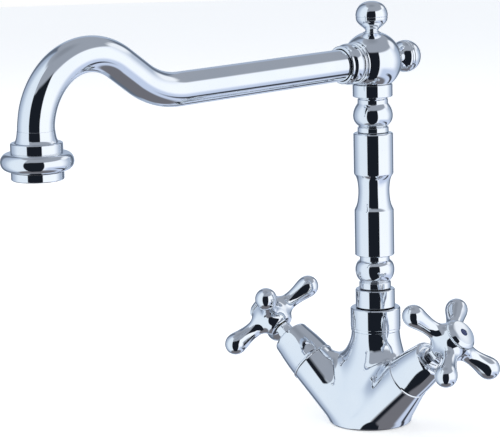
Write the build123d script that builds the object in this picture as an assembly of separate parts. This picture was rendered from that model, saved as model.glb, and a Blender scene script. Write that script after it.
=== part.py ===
"""Two-handle bathroom mixer faucet with a swivelling gooseneck spout.

Frame: origin at the centre of the base on the deck, +X towards the cold handle,
-Y towards the user, +Z up. All lengths are millimetres.

The V-shaped body stands on the deck. Its two arms hold quarter-turn valves, and
its neck holds a swivel on which the turned column, the ball head and the spout
turn together about a vertical axis.
"""
import math
import os

from build123d import *

os.makedirs("parts", exist_ok=True)

# ------------------------------------------------------------ driving sizes
BASE_R = 24.0            # round foot on the deck
COL_Y = 6.74             # column axis, behind the foot's centre
ARM_Y = -10.67           # plane of the two arm axes, in front of it
ARM_Z = 5.61             # height where the arm axes meet
ARM_RISE = 38.96         # degrees above horizontal
ARM_END = 45.7           # distance of each arm's end face from that meeting point
ARM_R = 13.9             # arm radius at its end face
NECK_R = 14.87           # neck below the swivel nut
NECK_TOP = 56.7
BOSS_R, BOSS_TOP = 12.8, 66.0   # threaded boss inside the swivel nut
SWIVEL_BORE_R, SWIVEL_BORE_Z = 10.06, 38.0
NUT_R, NUT_TOP = 15.43, 71.3

BETA = -101.5            # azimuth of the spout at rest; -90 is straight to the front
DROOP = 1.25             # fall of the straight part of the spout, degrees
BALL_R, BALL_Z = 18.0, 223.6
COLLAR_R = 12.13         # column collars
SPIGOT_R = 7.5           # threaded spigots between the column sections
WATER_R = 5.0            # waterway through the column
STEM_R = 10.0            # swivel spigot, 0.06 mm clearance in its bore

TUBE_R, TUBE_IN = 9.85, 8.1
OUT_S = 246.3            # outlet axis from the column axis
BELL_Z = 206.6

HANDLE_T = 87.7          # plane of the handle's arms, along the arm axis
ARM_BALL_D, ARM_BALL_R = 29.3, 6.8
HANDLE_TURN = {"cold": 39.0, "hot": 43.5}   # arm angle from horizontal at rest
BONNET_END = 69.5
HUB_T = 77.6             # lower end of the handle hub

INLET_X, INLET_Y, INLET_R, INLET_L = 9.5, -6.0, 5.0, 12.0    # M10 x 1 tails
STUD_Y, STUD_R, STUD_L = 9.0, 4.0, 14.0                      # M8 fixing stud

SIN, COS = math.sin(math.radians(ARM_RISE)), math.cos(math.radians(ARM_RISE))


# ------------------------------------------------------------ helpers
def lathe(profile):
    """Solid of revolution about Z. profile is a closed list of (r, z) points; a
    list of points inside it is a spline through the previous point and them."""
    edges, last = [], profile[0]
    for item in profile[1:] + [profile[0]]:
        if isinstance(item, list):
            edges.append(Edge.make_spline([Vector(p[0], 0, p[1]) for p in [last] + item]))
            last = item[-1]
        else:
            if abs(item[0] - last[0]) + abs(item[1] - last[1]) > 1e-6:
                edges.append(Edge.make_line(Vector(last[0], 0, last[1]), Vector(item[0], 0, item[1])))
            last = item
    face = Face(Wire(edges))
    return revolve(face, axis=Axis.Z, revolution_arc=360)


def tube(ro, ri, z0, z1):
    return lathe([(ri, z0), (ro, z0), (ro, z1), (ri, z1)])


def rod(r, z0, z1):
    return Pos(0, 0, z0) * Cylinder(r, z1 - z0, align=(Align.CENTER, Align.CENTER, Align.MIN))


def between(p, q, r):
    """Cylinder of radius r from point p to point q."""
    p, q = Vector(*p), Vector(*q)
    return Plane(origin=p, z_dir=(q - p)) * Cylinder(
        r, (q - p).length, align=(Align.CENTER, Align.CENTER, Align.MIN))


def ring(major, minor, z):
    return Pos(0, 0, z) * Torus(major, minor)


def side_sign(side):
    return 1 if side == "cold" else -1


def arm_plane(side, t=0.0):
    """Plane whose Z runs out along the side's arm axis and whose X is level."""
    s = side_sign(side)
    return Plane(origin=(s * COS * t, ARM_Y, ARM_Z + SIN * t),
                 x_dir=(0, s, 0), z_dir=(s * COS, 0, SIN))


def arm_point(side, t):
    s = side_sign(side)
    return (s * COS * t, ARM_Y, ARM_Z + SIN * t)


SWIVEL = Pos(0, COL_Y, 0) * Rot(0, 0, BETA)          # column frame, spout along +X
SPOUT_AXIS = Pos(0, 0, BALL_Z) * Rot(0, DROOP, 0) * Rot(0, 90, 0)   # Z out along the spout


def save(name, shape, place=None):
    if place is not None:
        shape = place * shape
    solids = shape.solids()
    out = solids[0] if len(solids) == 1 else Compound(children=list(solids))
    export_step(out, f"parts/{name}.step")
    return shape


# ------------------------------------------------------------ body casting
def arm_lobe(side):
    """From a circle inside the foot to the arm's end circle, with straight sides."""
    s = side_sign(side)
    foot = Plane(origin=(s * 1.3, 0, 0.4), x_dir=(s, 0, 0), z_dir=(0, 0, 1)) * Circle(BASE_R - 1.7)
    end = Plane(origin=arm_point(side, ARM_END), x_dir=(s * SIN, 0, -COS),
                z_dir=(s * COS, 0, SIN)) * Circle(ARM_R)
    return loft([foot.face(), end.face()], ruled=True)


def neck_lobe():
    """From a circle inside the foot up to the round neck."""
    low = Plane(origin=(0, 2.2, 0.8)) * Circle(BASE_R - 3.0)
    high = Plane(origin=(0, COL_Y, 44.0)) * Circle(NECK_R)
    return loft([low.face(), high.face()], ruled=True)


def body():
    out = rod(BASE_R, 0.0, 3.0) + (arm_lobe("cold") + arm_lobe("hot"))
    out += neck_lobe() + Pos(0, COL_Y, 0) * rod(NECK_R, 44.0, NECK_TOP)
    out += Pos(0, COL_Y, 0) * rod(BOSS_R, NECK_TOP - 1, BOSS_TOP)
    # swivel bore, mixing chamber
    out -= Pos(0, COL_Y, 0) * rod(SWIVEL_BORE_R, SWIVEL_BORE_Z, BOSS_TOP + 1)
    out -= Pos(0, COL_Y, 0) * rod(6.5, 27.0, SWIVEL_BORE_Z + 1)
    for side in ("hot", "cold"):
        s = side_sign(side)
        pl = arm_plane(side)
        out -= pl * rod(10.48, 28.0, ARM_END + 1)                 # valve bore
        out -= Pos(s * INLET_X, INLET_Y, -1) * Cylinder(
            INLET_R, INLET_L + 1, align=(Align.CENTER, Align.CENTER, Align.MIN))
        out -= between((s * INLET_X, INLET_Y, 13.0), arm_point(side, 28.4), 3.3)
        out -= between(arm_point(side, 33.0), (0, COL_Y, 33.0), 3.0)
    out -= Pos(0, STUD_Y, -1) * Cylinder(
        STUD_R, STUD_L + 1, align=(Align.CENTER, Align.CENTER, Align.MIN))
    out -= tube(22.4, 19.4, -1, 1.4)                              # seal groove
    return out


save("mixer_body", body())
save("base_seal", tube(22.4, 19.4, 0.0, 1.4))

# ------------------------------------------------------------ swivel
nut = lathe([(BOSS_R, NECK_TOP), (NUT_R - 0.6, NECK_TOP), (NUT_R - 0.15, NECK_TOP + 0.5),
             (NUT_R - 0.15, 58.7), (NUT_R, 58.95), (NUT_R, NUT_TOP - 0.6), (NUT_R - 0.6, NUT_TOP),
             (10.4, NUT_TOP), (10.4, 69.1), (BOSS_R, 69.1)])
save("swivel_nut", nut, Pos(0, COL_Y, 0))

stem = lathe([(WATER_R, 38.3), (9.4, 38.3), (STEM_R, 38.9),
              (STEM_R, 45.7), (8.0, 45.7), (8.0, 48.3), (STEM_R, 48.3),
              (STEM_R, 58.7), (8.0, 58.7), (8.0, 61.3), (STEM_R, 61.3),
              (STEM_R, 66.35), (8.7, 66.35), (8.7, 68.85), (STEM_R, 68.85),
              (STEM_R, 71.65), (COLLAR_R - 0.4, 71.65), (COLLAR_R, 72.05),
              (COLLAR_R, 82.44), (COLLAR_R - 0.4, 82.84),
              (SPIGOT_R, 82.84), (SPIGOT_R, 90.0), (WATER_R, 90.0)])
save("column_stem", stem, SWIVEL)
split = tube(12.3, 8.72, 66.45, 68.75) - Pos(10.5, 0, 67.6) * Box(6, 2.0, 4)
save("swivel_split_ring", split, SWIVEL)
o_rings = Compound(children=[ring(9.0, 0.98, 47.0), ring(9.0, 0.98, 60.0)])
save("swivel_o_rings", o_rings, SWIVEL)

# ------------------------------------------------------------ column
lower = lathe([(SPIGOT_R, 82.84), (8.9, 82.84), (9.2, 83.3), (9.78, 83.6), (9.78, 87.0), (9.3, 87.35),
               (8.85, 87.6), [(10.5, 89.4), (11.75, 92.4), (12.02, 94.8), (11.75, 97.2), (10.6, 99.6), (9.17, 100.9)],
               (9.17, 103.6), (8.7, 104.0), (SPIGOT_R, 104.0), (SPIGOT_R, 111.0),
               (WATER_R, 111.0), (WATER_R, 90.2), (SPIGOT_R, 90.2)])
save("column_lower_bead", lower, SWIVEL)

middle = lathe([(SPIGOT_R, 104.0), (11.6, 104.0), (12.07, 104.5), (12.07, 132.0), (11.9, 132.5),
                [(10.75, 135.0), (9.85, 139.2), (9.55, 143.9), (9.85, 148.4), (10.75, 152.2), (11.95, 154.4)],
                (12.13, 154.9), (12.13, 179.1), (11.7, 179.6), (9.0, 180.0), (SPIGOT_R, 180.0),
                (SPIGOT_R, 187.0), (WATER_R, 187.0), (WATER_R, 111.2), (SPIGOT_R, 111.2)])
save("column_middle", middle, SWIVEL)

upper = lathe([(SPIGOT_R, 180.0), (9.1, 180.0), (9.5, 180.5), (9.5, 183.0), (9.0, 183.35),
               (8.4, 183.6), [(10.2, 185.2), (11.75, 187.8), (12.13, 190.2), (11.8, 192.8), (10.7, 195.6), (9.27, 197.8)],
               (9.27, 200.2), (8.8, 200.7), (8.6, 201.9), (SPIGOT_R, 201.9), (SPIGOT_R, 194.0),
               (WATER_R, 194.0), (WATER_R, 187.2), (SPIGOT_R, 187.2)])
save("column_upper_bead", upper, SWIVEL)

collar = lathe([(SPIGOT_R, 201.9), (COLLAR_R - 0.4, 201.9), (COLLAR_R, 202.3),
                (COLLAR_R, 209.2), (COLLAR_R - 0.4, 209.6), (SPIGOT_R, 209.6)])
save("top_collar", collar, SWIVEL)

# ------------------------------------------------------------ ball head
ball = Pos(0, 0, BALL_Z) * Sphere(BALL_R)
ball -= Pos(0, 0, 209.6 - 20) * Box(60, 60, 40)
ball -= Pos(0, 0, BALL_Z + 17.0 + 5) * Box(30, 30, 10)
ball -= SPOUT_AXIS * (Pos(0, 0, 12.5 + 5) * Box(40, 40, 10))
ball -= SPOUT_AXIS * (Pos(0, 0, -17.0 - 5) * Box(30, 30, 10))
ball += rod(SPIGOT_R, 194.2, 212.0)
ball += SPOUT_AXIS * rod(9.6, 8.0, 19.0)
ball -= rod(WATER_R, 190.0, BALL_Z)
ball -= Pos(0, 0, BALL_Z) * Sphere(6.0)
ball -= SPOUT_AXIS * rod(6.0, 0.0, 20.0)
ball -= rod(3.0, BALL_Z + 8.2, BALL_Z + 18)
ball -= SPOUT_AXIS * rod(3.0, -18.0, -8.2)
save("ball_head", ball, SWIVEL)


def finial():
    """Acorn finial standing on z = 0, with its stud below."""
    return lathe([(0, -8.0), (3.0, -8.0), (3.0, 0.0), (5.6, 0.0),
                  [(5.15, 0.45), (4.1, 1.1), (3.85, 1.6), (4.2, 2.15), (6.6, 4.2), (9.0, 6.8), (9.62, 8.0)],
                  (9.35, 8.25), (9.62, 8.5), (9.72, 9.7), (9.45, 9.95), (9.79, 10.2),
                  [(9.72, 11.6), (9.0, 14.2), (7.3, 16.7), (4.2, 18.6), (0.0, 19.3)]])


save("top_finial", finial(), SWIVEL * Pos(0, 0, BALL_Z + 17.0))
save("side_finial", finial(), SWIVEL * SPOUT_AXIS * Rot(180, 0, 0) * Pos(0, 0, 17.0))

# ------------------------------------------------------------ spout
spout_nut = lathe([(9.6, 12.5), (12.3, 12.5), (12.8, 12.9), (12.8, 13.8), (12.3, 14.2), (11.7, 14.5),
                   (11.7, 14.9), (12.3, 15.2), (12.3, 15.9), (11.5, 16.3),
                   [(12.15, 17.4), (12.4, 19.5), (12.0, 21.6), (11.0, 22.9)],
                   (10.7, 23.2), (10.7, 23.5), (11.5, 23.9), (11.5, 25.2), (11.1, 25.6),
                   (TUBE_R, 25.6), (TUBE_R, 21.8), (10.6, 21.8), (10.6, 19.4), (9.6, 19.4)])
save("spout_nut", spout_nut, SWIVEL * SPOUT_AXIS)
save("spout_seal", tube(9.5, 6.2, 19.0, 19.9), SWIVEL * SPOUT_AXIS)


def bend(p, a0, a1, r):
    """Arc in the XZ plane from p, heading a0 to a1 degrees, and its end point."""
    k = 1 if a1 > a0 else -1
    t0, t1 = math.radians(a0), math.radians(a1)
    c = (p[0] - k * r * math.sin(t0), p[1] + k * r * math.cos(t0))
    at = lambda t: (c[0] + k * r * math.sin(t), c[1] - k * r * math.cos(t))
    mid, end = at((t0 + t1) / 2), at(t1)
    arc = Edge.make_three_point_arc(Vector(p[0], 0, p[1]), Vector(mid[0], 0, mid[1]), Vector(end[0], 0, end[1]))
    return arc, end


def spout_path():
    d = math.radians(-DROOP)
    start = (19.9 * math.cos(d), BALL_Z + 19.9 * math.sin(d))
    p1 = (148.6, BALL_Z + 148.6 * math.tan(d))
    edges = [Edge.make_line(Vector(start[0], 0, start[1]), Vector(p1[0], 0, p1[1]))]
    a, p2 = bend(p1, -DROOP, 36.2, 45.5)
    edges.append(a)
    p3 = (p2[0] + 16.35 * math.cos(math.radians(36.2)), p2[1] + 16.35 * math.sin(math.radians(36.2)))
    edges.append(Edge.make_line(Vector(p2[0], 0, p2[1]), Vector(p3[0], 0, p3[1])))
    a, p4 = bend(p3, 36.2, -42.5, 34.4)
    edges.append(a)
    r_last = (OUT_S - p4[0]) / (1 - math.sin(math.radians(42.5)))
    a, p5 = bend(p4, -42.5, -90.0, r_last)
    edges.append(a)
    edges.append(Edge.make_line(Vector(p5[0], 0, p5[1]), Vector(p5[0], 0, 198.0)))
    print("spout path: last radius", round(r_last, 2), "drop starts", [round(v, 2) for v in p5],
          "top", round(max(e.bounding_box().max.Z for e in edges), 2))
    return Wire(edges)


path = spout_path()
start = path @ 0
section = Plane(origin=start, z_dir=path % 0)
pipe = sweep((section * Circle(TUBE_R)).face(), path=path)
pipe_in = sweep((section * Circle(TUBE_IN)).face(), path=path)
print("spout tube volume against section x length",
      round(pipe.volume / (math.pi * TUBE_R ** 2 * path.length), 5))
pipe = pipe - pipe_in
pipe += SPOUT_AXIS * tube(10.5, TUBE_IN, 19.9, 21.7)
save("spout_tube", pipe, SWIVEL)

OUTLET = Pos(OUT_S, 0, 0)
bell = lathe([(TUBE_R, 198.0), (TUBE_R, BELL_Z), (10.15, BELL_Z), (10.6, 204.6), (11.9, 200.5), (13.9, 200.5),
              (14.38, 200.1), (14.38, 194.6), [(16.6, 194.98), (18.9, 193.6), (20.2, 190.2), (18.9, 186.8), (16.6, 185.42), (14.0, 185.2)],
              (12.0, 185.2), (12.0, 194.0), (8.6, 194.0), (8.6, 198.0)])
save("outlet_bell", bell, SWIVEL * OUTLET)
save("aerator_washer", tube(11.9, 9.0, 192.2, 194.0), SWIVEL * OUTLET)
housing = lathe([(9.2, 180.1), (14.0, 180.1), (14.5, 180.6), (14.5, 184.5), (14.1, 184.9), (12.0, 184.9),
                 (12.0, 192.2), (10.3, 192.2), (10.3, 181.3), (9.2, 181.3)])
save("aerator_housing", housing, SWIVEL * OUTLET)
core = tube(10.25, 9.1, 181.3, 192.0) + rod(9.2, 181.6, 182.8) + rod(9.2, 188.0, 189.4)
holes = [(0, 0)] + [(3.0 * math.cos(a), 3.0 * math.sin(a)) for a in [k * math.pi / 3 for k in range(6)]] \
    + [(6.2 * math.cos(a), 6.2 * math.sin(a)) for a in [k * math.pi / 6 for k in range(12)]]
for x, y in holes:
    core -= Pos(x, y, 0) * rod(1.05, 181.0, 190.0)
save("aerator_core", core, SWIVEL * OUTLET)


# ------------------------------------------------------------ valves and handles
def bonnet():
    return lathe([(12.3, ARM_END), (14.1, ARM_END), (14.5, ARM_END + 0.4), (14.5, 46.9), (13.95, 47.4),
                  (13.85, 48.2), [(13.6, 52.0), (12.75, 60.0), (11.75, 67.2), (11.4, 68.6), (10.6, 69.35), (9.9, BONNET_END)],
                  (9.3, 69.3), (8.9, 68.4), (7.0, 68.4), (6.7, 69.0), (5.6, 69.3), (4.7, 69.3),
                  (4.7, 66.9), (8.9, 66.9), (9.9, 66.2), (11.9, 49.6), (12.3, 49.2)])


def cartridge():
    h = tube(9.9, 8.1, 29.1, 38.2) + tube(10.48, 3.56, 38.2, ARM_END)
    flange = extrude(Plane.XY.offset(ARM_END) * RegularPolygon(11.6, 6), 3.3)
    h += flange + rod(7.0, 48.5, 66.7)
    h -= rod(3.56, 38.0, 70.0)
    h -= rod(4.5, 57.0, 70.0)
    h -= ring(10.2, 0.8, 43.6)
    for a in (0, 180):
        h -= Rot(0, 0, a + 90) * (Pos(9.0, 0, 35.6) * Box(4, 6.0, 3.6))
    return h


def gland_nut():
    g = extrude(Plane.XY.offset(69.3) * RegularPolygon(5.3, 6), 7.8) + rod(4.5, 57.4, 69.5)
    g -= rod(3.9, 50.0, 80.0)
    return g


def spindle():
    s = rod(6.0, 34.75, 37.8) + rod(3.5, 37.0, 78.9) + rod(3.2, 78.8, 86.8)
    s += Pos(0, 0, 34.3) * Box(2.0, 9.6, 1.2)
    for k in range(10):
        s -= Rot(0, 0, 36 * k) * (Pos(3.3, 0, 82.9) * Box(0.5, 0.5, 8.2))
    s -= tube(4.5, 2.6, 50.0, 52.0)
    s -= rod(2.0, 76.0, 87.0)
    return s


def moving_disc():
    d = rod(7.7, 32.2, 34.75) - Pos(0, 0, 34.35) * Box(2.1, 9.8, 1.3)
    d -= Pos(0, 0, 33.0) * (Pos(4.2, 0, 0) * Cylinder(1.9, 5)) + Pos(0, 0, 33.0) * (Pos(-4.2, 0, 0) * Cylinder(1.9, 5))
    return d


def fixed_disc():
    d = rod(8.05, 29.6, 32.1)
    for a in (0, 180):
        d -= Rot(0, 0, a + 45) * (Pos(4.2, 0, 31) * Cylinder(1.9, 6))
    return d


def handle(turn):
    hub = lathe([(0, HUB_T), (5.7, HUB_T), (6.15, HUB_T + 0.4),
                 [(6.9, 79.6), (8.6, 82.4), (10.4, 85.6), (11.3, 88.6), (11.2, 91.6), (10.2, 94.3), (9.7, 95.4)],
                 (0, 95.4)])
    for k in range(4):
        arm = lathe([(0, 0), (5.6, 0), (5.6, 9.0),
                     [(5.25, 13.0), (5.05, 16.6), (5.35, 20.0), (6.05, 24.0), (6.75, 27.6), (6.72, 30.4),
                      (5.8, 33.0), (3.9, 35.0), (0, 36.1)]])
        hub += Pos(0, 0, HANDLE_T) * Rot(0, 0, turn + 90 * k) * Rot(0, 90, 0) * arm
    hub -= rod(3.2, 76.0, 87.0)
    hub -= rod(3.75, 76.0, 79.2)
    hub -= rod(2.2, 86.0, 90.0)
    hub -= rod(6.5, 89.5, 96.0)
    return hub


def handle_screw():
    s = rod(2.0, 78.0, 89.6) + lathe([(0, 89.5), (3.6, 89.5), (3.6, 91.4), (3.2, 92.0), (0, 92.0)])
    s -= Pos(0, 0, 91.8) * (Box(5.2, 1.0, 1.6) + Box(1.0, 5.2, 1.6))
    return s


def index_cap():
    c = rod(6.45, 93.0, 95.6) - rod(4.2, 92.0, 94.6)
    c += lathe([(0, 95.4), (9.7, 95.4), (10.1, 95.7), (10.1, 97.2),
                [(9.75, 97.75), (8.0, 98.7), (5.0, 99.4), (0, 99.7)]])
    for k in range(60):
        c -= Rot(0, 0, 6 * k) * (Pos(10.25, 0, 96.3) * Cylinder(0.38, 2.4))
    c -= rod(2.3, 99.1, 101.0)
    return c


for side in ("hot", "cold"):
    pl = arm_plane(side)
    turn = HANDLE_TURN[side]
    save(f"{side}_bonnet", bonnet(), pl.location)
    save(f"{side}_cartridge_housing", cartridge(), pl.location)
    save(f"{side}_cartridge_o_ring", ring(10.2, 0.76, 43.6) & rod(10.46, 40, 46), pl.location)
    save(f"{side}_seat_washer", tube(7.8, 3.6, 28.0, 29.6), pl.location)
    save(f"{side}_fixed_disc", fixed_disc(), pl.location)
    save(f"{side}_gland_nut", gland_nut(), pl.location)
    save(f"{side}_spindle", spindle(), pl.location)
    save(f"{side}_spindle_seal", ring(3.06, 0.45, 51.0), pl.location)
    save(f"{side}_moving_disc", moving_disc(), pl.location)
    save(f"{side}_handle", handle(turn), pl.location)
    save(f"{side}_handle_screw", handle_screw(), pl.location)
    save(f"{side}_index_cap", index_cap(), pl.location)
    save(f"{side}_index_mark", rod(2.3, 99.1, 99.6), pl.location)
print("done")
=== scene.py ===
import math

import bmesh
import bpy
import numpy as np
from mathutils import Matrix, Vector


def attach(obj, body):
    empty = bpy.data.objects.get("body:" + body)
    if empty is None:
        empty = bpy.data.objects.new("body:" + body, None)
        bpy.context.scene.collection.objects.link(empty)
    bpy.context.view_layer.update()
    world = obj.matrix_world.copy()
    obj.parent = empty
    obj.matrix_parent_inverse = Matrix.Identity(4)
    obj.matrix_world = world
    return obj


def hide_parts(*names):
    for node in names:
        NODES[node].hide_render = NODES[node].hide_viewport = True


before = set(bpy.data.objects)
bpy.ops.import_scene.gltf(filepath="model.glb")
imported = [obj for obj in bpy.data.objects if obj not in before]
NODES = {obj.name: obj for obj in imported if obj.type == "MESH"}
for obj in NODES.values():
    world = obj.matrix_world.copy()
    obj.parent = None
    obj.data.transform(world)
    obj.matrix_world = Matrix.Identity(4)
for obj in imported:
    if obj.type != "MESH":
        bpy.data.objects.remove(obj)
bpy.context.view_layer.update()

MM = 0.001

# ---------------------------------------------------------------- main sizes, in millimetres as in the CAD part
BASE_R, COL_Y, ARM_Y, ARM_Z, ARM_RISE = 24.0, 6.74, -10.67, 5.61, 38.96
ARM_END, ARM_R, NECK_R, NECK_TOP = 45.7, 13.9, 14.87, 56.7
BOSS_R, BOSS_TOP, BORE_R, BORE_Z = 12.8, 66.0, 10.06, 38.0
NUT_R, NUT_TOP = 15.43, 71.3
BETA, DROOP = -101.5, 1.25
BALL_R, BALL_Z, COLLAR_R, SPIGOT_R, WATER_R, STEM_R = 18.0, 223.6, 12.13, 7.5, 5.0, 10.0
OUT_S, HANDLE_T, HUB_T = 246.3, 87.7, 77.6
HANDLE_TURN = {"cold": 39.0, "hot": 43.5}
SIN, COS = math.sin(math.radians(ARM_RISE)), math.cos(math.radians(ARM_RISE))


# ---------------------------------------------------------------- placement
def T(x, y, z):
    m = np.eye(4)
    m[:3, 3] = (x, y, z)
    return m


def R(axis, deg):
    a = math.radians(deg)
    c, s = math.cos(a), math.sin(a)
    i, j = {"x": (1, 2), "y": (2, 0), "z": (0, 1)}[axis]
    m = np.eye(4)
    m[i, i], m[j, j], m[i, j], m[j, i] = c, c, -s, s
    return m


SWIVEL = T(0, COL_Y, 0) @ R("z", BETA)
SPOUT = SWIVEL @ T(0, 0, BALL_Z) @ R("y", DROOP) @ R("y", 90)
OUTLET = SWIVEL @ T(OUT_S, 0, 0)


def arm_frame(side):
    s = 1 if side == "cold" else -1
    z = np.array([s * COS, 0, SIN])
    x = np.array([0, s, 0.0])
    m = np.eye(4)
    m[:3, 0], m[:3, 1], m[:3, 2], m[:3, 3] = x, np.cross(z, x), z, (0, ARM_Y, ARM_Z)
    return m


def put(m, p):
    return np.asarray(p, float) @ m[:3, :3].T + m[:3, 3]


def turn(m, n):
    return np.asarray(n, float) @ m[:3, :3].T


# ---------------------------------------------------------------- curves
class Cubic:
    """Natural cubic spline through points, over chord length."""

    def __init__(self, pts, t=None):
        p = np.asarray(pts, float)
        if t is None:
            t = np.r_[0, np.cumsum(np.linalg.norm(np.diff(p, axis=0), axis=1))]
        self.t, self.p, n = np.asarray(t, float), p, len(p)
        h = np.diff(self.t)
        a, rhs = np.eye(n), np.zeros_like(p)
        for i in range(1, n - 1):
            a[i, i - 1], a[i, i], a[i, i + 1] = h[i - 1], 2 * (h[i - 1] + h[i]), h[i]
            rhs[i] = 6 * ((p[i + 1] - p[i]) / h[i] - (p[i] - p[i - 1]) / h[i - 1])
        self.m = np.linalg.solve(a, rhs)

    def at(self, x, d=0):
        x = np.asarray(x, float)
        i = np.clip(np.searchsorted(self.t, x) - 1, 0, len(self.t) - 2)
        h = self.t[i + 1] - self.t[i]
        A, B = self.t[i + 1] - x, x - self.t[i]
        if self.p.ndim > 1:
            h, A, B = h[..., None], A[..., None], B[..., None]
        p0, p1, m0, m1 = self.p[i], self.p[i + 1], self.m[i], self.m[i + 1]
        if d == 0:
            return (m0 * A ** 3 + m1 * B ** 3) / (6 * h) + (p0 / h - m0 * h / 6) * A + (p1 / h - m1 * h / 6) * B
        return (-m0 * A ** 2 + m1 * B ** 2) / (2 * h) + (p1 - p0) / h - (m1 - m0) * h / 6


def unit(v):
    v = np.asarray(v, float)
    return v / np.maximum(np.linalg.norm(v, axis=-1, keepdims=True), 1e-12)


def runs_of(profile, closed):
    """(points, tangents) of each line or spline of a profile."""
    out, last = [], np.array(profile[0], float)
    for item in list(profile[1:]) + ([profile[0]] if closed else []):
        if isinstance(item, list):
            pts = [tuple(last)] + item
            c = Cubic(pts)
            n = max(14, int(c.t[-1] / 0.22))
            t = np.linspace(0, c.t[-1], n + 1)
            out.append((c.at(t), unit(c.at(t, 1))))
            last = np.array(item[-1], float)
        else:
            q = np.array(item, float)
            if np.linalg.norm(q - last) > 1e-6:
                d = unit(q - last)
                out.append((np.array([last, q]), np.array([d, d])))
            last = q
    return out


def trim(run, d, end):
    p, t = run
    if end:
        p, t = p[::-1], t[::-1]
    s = np.r_[0, np.cumsum(np.linalg.norm(np.diff(p, axis=0), axis=1))]
    k = int(np.searchsorted(s, d, side="right")) - 1
    k = min(k, len(p) - 2)
    w = (d - s[k]) / (s[k + 1] - s[k])
    q, u = p[k] * (1 - w) + p[k + 1] * w, unit(t[k] * (1 - w) + t[k + 1] * w)
    p, t = np.vstack([q, p[k + 1:]]), np.vstack([u, t[k + 1:]])
    if end:
        p, t = p[::-1], t[::-1]
    return p, t


def rounded(profile, closed, fillet):
    """Profile points and outward normals in the (r, z) plane, its corners rounded."""
    runs = runs_of(profile, closed)
    n = len(runs)
    length = [float(np.sum(np.linalg.norm(np.diff(p, axis=0), axis=1))) for p, _ in runs]
    joints = range(n) if closed else range(n - 1)
    cut = {}
    for i in joints:
        a, b = runs[i][1][-1], runs[(i + 1) % n][1][0]
        ang = math.acos(max(-1, min(1, float(a @ b))))
        if ang > math.radians(4):
            cut[i] = (min(fillet * math.tan(ang / 2), 0.42 * length[i], 0.42 * length[(i + 1) % n]), ang)
    P, N = [], []
    for i in range(n):
        run = runs[i]
        if i in cut:
            run = trim(run, cut[i][0], True)
        prev = (i - 1) % n
        if (closed or i > 0) and prev in cut:
            run = trim(run, cut[prev][0], False)
        P.append(run[0])
        N.append(run[1])
        if i in cut:
            nxt = trim(runs[(i + 1) % n], cut[i][0], False)
            p0, t0, p1, t1 = run[0][-1], run[1][-1], nxt[0][0], nxt[1][0]
            ang = cut[i][1]
            rad = np.linalg.norm(p1 - p0) / (2 * math.sin(ang / 2))
            h = 4 / 3 * math.tan(ang / 4) * rad
            c = [p0, p0 + t0 * h, p1 - t1 * h, p1]
            u = np.linspace(0, 1, 3 + int(math.degrees(ang) / 18))[1:-1, None]
            P.append((1 - u) ** 3 * c[0] + 3 * u * (1 - u) ** 2 * c[1] + 3 * u ** 2 * (1 - u) * c[2] + u ** 3 * c[3])
            N.append(unit((1 - u) ** 2 * (c[1] - c[0]) + 2 * u * (1 - u) * (c[2] - c[1]) + u ** 2 * (c[3] - c[2])))
    p, t = np.vstack(P), np.vstack(N)
    keep = [0]
    for i in range(1, len(p)):
        if np.linalg.norm(p[i] - p[keep[-1]]) > 1e-5:
            keep.append(i)
    if closed and np.linalg.norm(p[keep[-1]] - p[keep[0]]) < 1e-5:
        keep.pop()
    p, t = p[keep], t[keep]
    area = 0.5 * float(np.sum(p[:, 0] * np.roll(p[:, 1], -1) - np.roll(p[:, 0], -1) * p[:, 1]))
    if area < 0:
        p, t = p[::-1], -t[::-1]
    return p, np.stack([t[:, 1], -t[:, 0]], 1)


# ---------------------------------------------------------------- meshes
def add_mesh(name, verts, faces, normals=None, sharp=None):
    """A mesh from millimetre vertices. normals are per vertex; sharp is an angle in degrees."""
    me = bpy.data.meshes.new(name)
    me.from_pydata((np.asarray(verts) * MM).tolist(), [], [list(map(int, f)) for f in faces])
    me.validate(clean_customdata=False)
    me.shade_smooth()
    if normals is not None:
        me.normals_split_custom_set_from_vertices(np.asarray(normals).tolist())
    elif sharp is not None:
        me.set_sharp_from_angle(angle=math.radians(sharp))
    me.update()
    ob = bpy.data.objects.new(name, me)
    bpy.context.scene.collection.objects.link(ob)
    return ob


def lathe_data(profile, closed=True, fillet=0.3, seg=112, offset=0):
    """Vertices, faces and normals of a solid of revolution about Z."""
    p, n = rounded(profile, closed, fillet)
    ang = 2 * math.pi * (np.arange(seg) + 0.5) / seg
    c, s = np.cos(ang), np.sin(ang)
    rows, verts, norms = [], [], []
    count = 0
    for (r, z), (nr, nz) in zip(p, n):
        if r < 1e-4:
            rows.append([count])
            verts.append(np.array([[0, 0, z]]))
            norms.append(np.array([[0, 0, 1.0 if nz > 0 else -1.0]]))
            count += 1
        else:
            rows.append(list(range(count, count + seg)))
            verts.append(np.stack([r * c, r * s, np.full(seg, z)], 1))
            norms.append(np.stack([nr * c, nr * s, np.full(seg, nz)], 1))
            count += seg
    faces = []
    m = len(rows)
    for i in range(m if closed else m - 1):
        a, b = rows[i], rows[(i + 1) % m]
        for j in range(seg):
            k = (j + 1) % seg
            if len(a) == 1 and len(b) == 1:
                continue
            if len(a) == 1:
                faces.append((a[0] + offset, b[k] + offset, b[j] + offset))
            elif len(b) == 1:
                faces.append((a[j] + offset, a[k] + offset, b[0] + offset))
            else:
                faces.append((a[j] + offset, a[k] + offset, b[k] + offset, b[j] + offset))
    return np.vstack(verts), faces, np.vstack(norms)


def lathe(name, profile, place, closed=True, fillet=0.3, seg=112):
    v, f, n = lathe_data(profile, closed, fillet, seg)
    return add_mesh(name, put(place, v), f, turn(place, n))


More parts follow.
